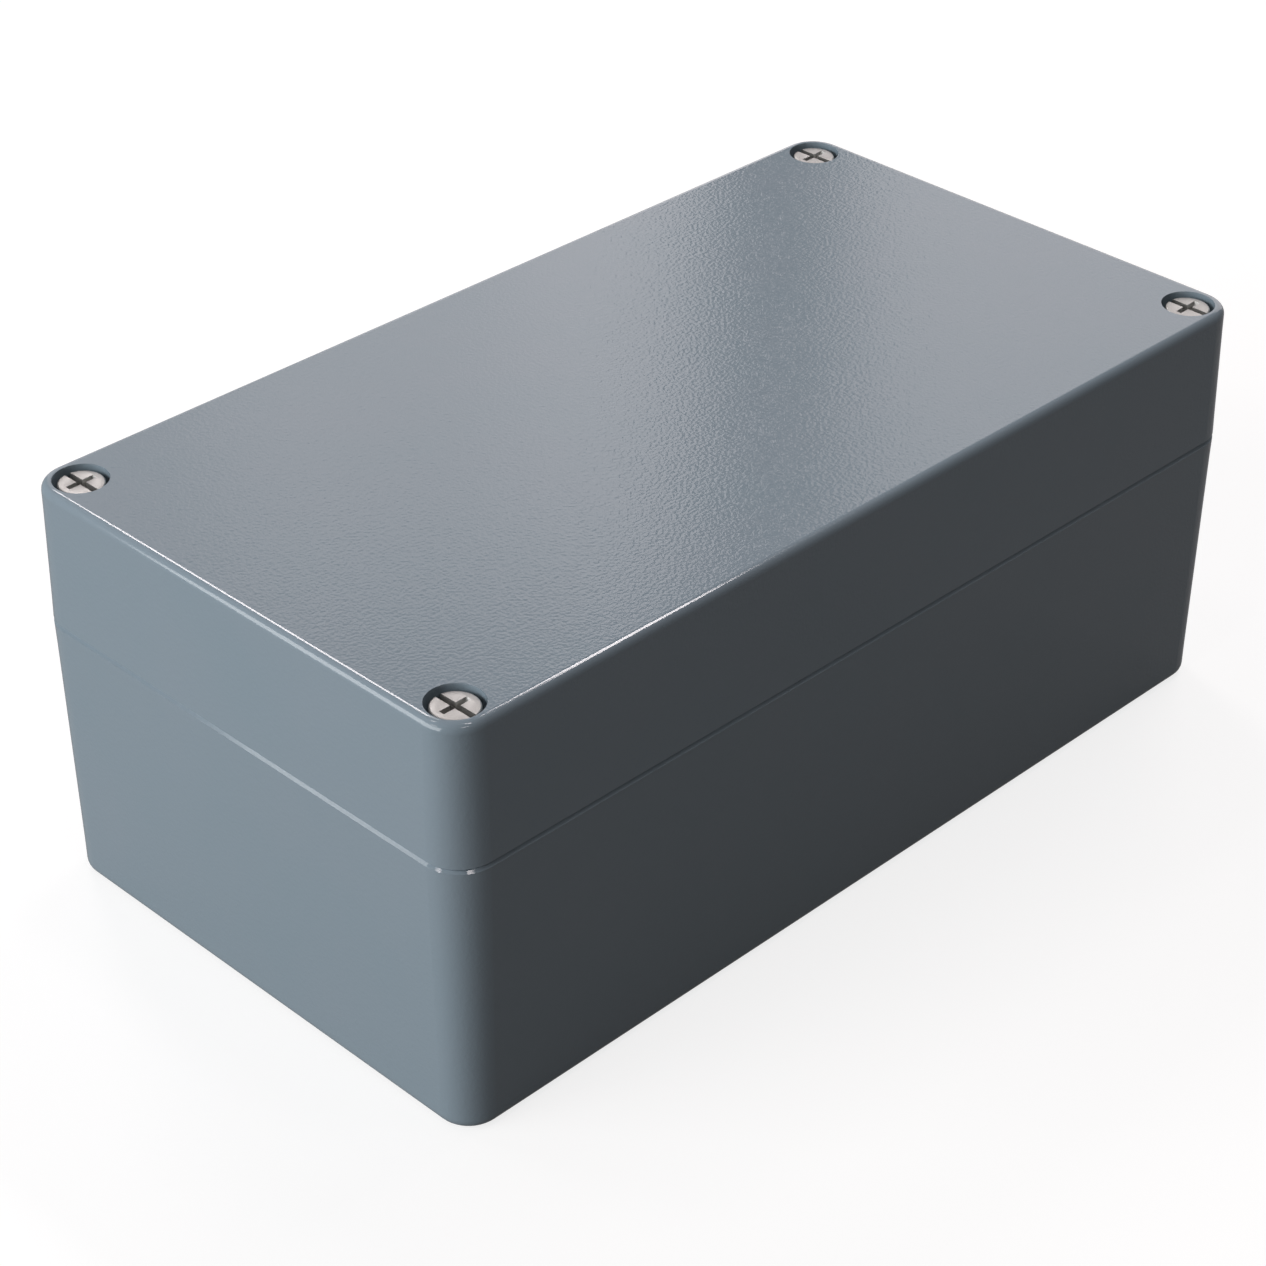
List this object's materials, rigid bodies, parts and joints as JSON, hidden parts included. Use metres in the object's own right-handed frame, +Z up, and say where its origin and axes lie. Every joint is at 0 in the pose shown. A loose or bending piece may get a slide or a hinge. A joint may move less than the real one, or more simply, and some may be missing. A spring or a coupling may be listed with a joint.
{
  "type": "electronics enclosure",
  "caption": "Rectangular die-cast aluminium electronics enclosure with a deep sealed lid, rounded edges, captive corner screws and an inner earth terminal.",
  "frame": {"origin": "centre of the flat underside, on the surface that the enclosure stands on or is fixed to", "axes": "+X along the length, +Y along the width, +Z up through the lid"},
  "size_m": [0.22, 0.12, 0.09],
  "materials": {
    "coated_aluminium": "fine textured grey powder coat, satin",
    "gasket_rubber": "matt black cellular rubber",
    "retainer_nylon": "natural nylon",
    "stainless_steel": "bright stainless steel, cold formed"
  },
  "bodies": {
    "base": {"base": "coated_aluminium", "earth_clamp": "stainless_steel", "earth_spring_washer": "stainless_steel", "earth_screw": "stainless_steel"},
    "lid": {"lid": "coated_aluminium", "gasket": "gasket_rubber"},
    "retainer_1": {"screw_retainer_1": "retainer_nylon"},
    "screw_1": {"lid_screw_1": "stainless_steel"},
    "retainer_2": {"screw_retainer_2": "retainer_nylon"},
    "screw_2": {"lid_screw_2": "stainless_steel"},
    "retainer_3": {"screw_retainer_3": "retainer_nylon"},
    "screw_3": {"lid_screw_3": "stainless_steel"},
    "retainer_4": {"screw_retainer_4": "retainer_nylon"},
    "screw_4": {"lid_screw_4": "stainless_steel"}
  },
  "joints": [
    {"name": "lid_lift", "type": "slide", "parent": "base", "child": "lid", "axis": [0, 0, 1], "range_m": [0, 0.08]},
    {"name": "screw_1_rise", "type": "slide", "parent": "lid", "child": "retainer_1", "axis": [0, 0, 1], "range_m": [0, 0.015]},
    {"name": "screw_1_turn", "type": "hinge", "parent": "retainer_1", "child": "screw_1", "pos_m": [-0.102, -0.052, 0.06], "axis": [0, 0, 1], "range_deg": [0, 5400]},
    {"name": "screw_2_rise", "type": "slide", "parent": "lid", "child": "retainer_2", "axis": [0, 0, 1], "range_m": [0, 0.015]},
    {"name": "screw_2_turn", "type": "hinge", "parent": "retainer_2", "child": "screw_2", "pos_m": [0.102, -0.052, 0.06], "axis": [0, 0, 1], "range_deg": [0, 5400]},
    {"name": "screw_3_rise", "type": "slide", "parent": "lid", "child": "retainer_3", "axis": [0, 0, 1], "range_m": [0, 0.015]},
    {"name": "screw_3_turn", "type": "hinge", "parent": "retainer_3", "child": "screw_3", "pos_m": [0.102, 0.052, 0.06], "axis": [0, 0, 1], "range_deg": [0, 5400]},
    {"name": "screw_4_rise", "type": "slide", "parent": "lid", "child": "retainer_4", "axis": [0, 0, 1], "range_m": [0, 0.015]},
    {"name": "screw_4_turn", "type": "hinge", "parent": "retainer_4", "child": "screw_4", "pos_m": [-0.102, 0.052, 0.06], "axis": [0, 0, 1], "range_deg": [0, 5400]}
  ],
  "couplings": [
    {"joint": "screw_1_turn", "follows": "screw_1_rise", "rad_per_m": 6283.2},
    {"joint": "screw_2_turn", "follows": "screw_2_rise", "rad_per_m": 6283.2},
    {"joint": "screw_3_turn", "follows": "screw_3_rise", "rad_per_m": 6283.2},
    {"joint": "screw_4_turn", "follows": "screw_4_rise", "rad_per_m": 6283.2}
  ]
}
